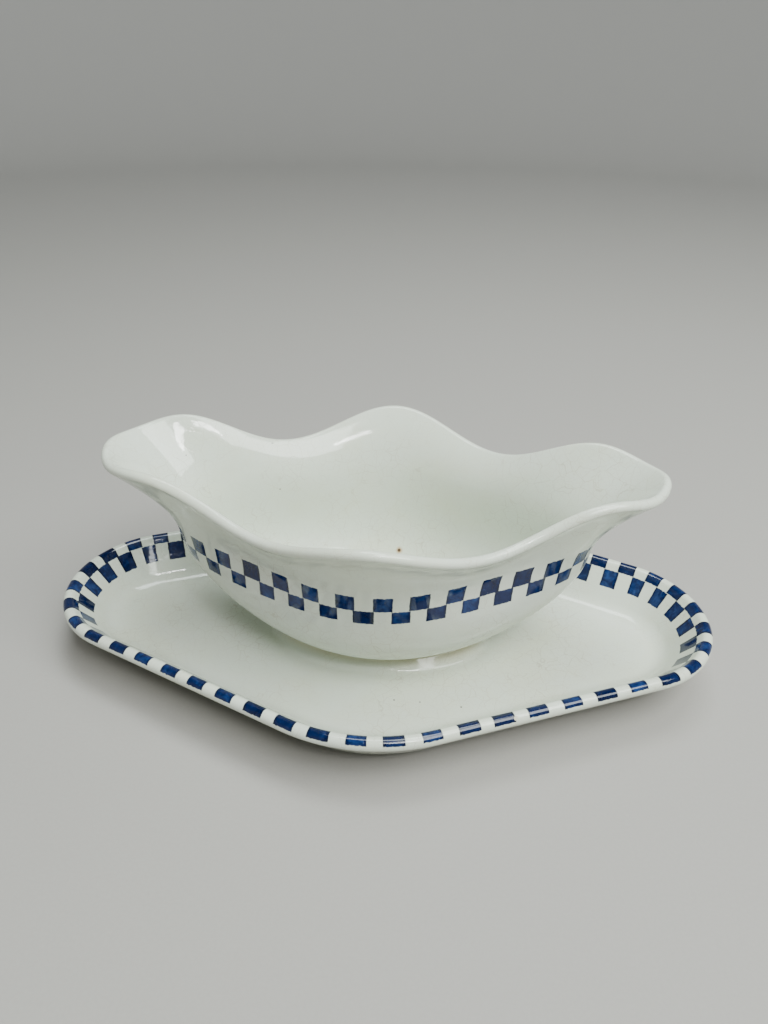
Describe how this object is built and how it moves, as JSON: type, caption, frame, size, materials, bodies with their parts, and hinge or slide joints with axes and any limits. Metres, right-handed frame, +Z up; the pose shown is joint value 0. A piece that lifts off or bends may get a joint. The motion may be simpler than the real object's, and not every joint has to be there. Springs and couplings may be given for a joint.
{
  "type": "gravy boat with stand",
  "caption": "Glazed ceramic sauce boat with pouring lips at both ends, a wavy rim and an oval foot, standing loose on a long rimmed dish.",
  "frame": {"origin": "centre of the stand's resting plane, below the middle of the dish", "axes": "+X along the dish towards one pouring lip, +Y across it, +Z up"},
  "size_m": [0.254, 0.148, 0.088],
  "materials": {
    "stand_glaze": "glossy ivory glaze with crazing, painted blue checks along the rim",
    "boat_glaze": "glossy ivory glaze with crazing, painted blue checked band round the outside"
  },
  "bodies": {
    "stand": {"stand": "stand_glaze"},
    "sauce_boat": {"sauce_boat": "boat_glaze"}
  },
  "joints": [
    {"name": "boat_lift", "type": "slide", "parent": "stand", "child": "sauce_boat", "axis": [0, 0, 1], "range_m": [0, 0.12]}
  ]
}
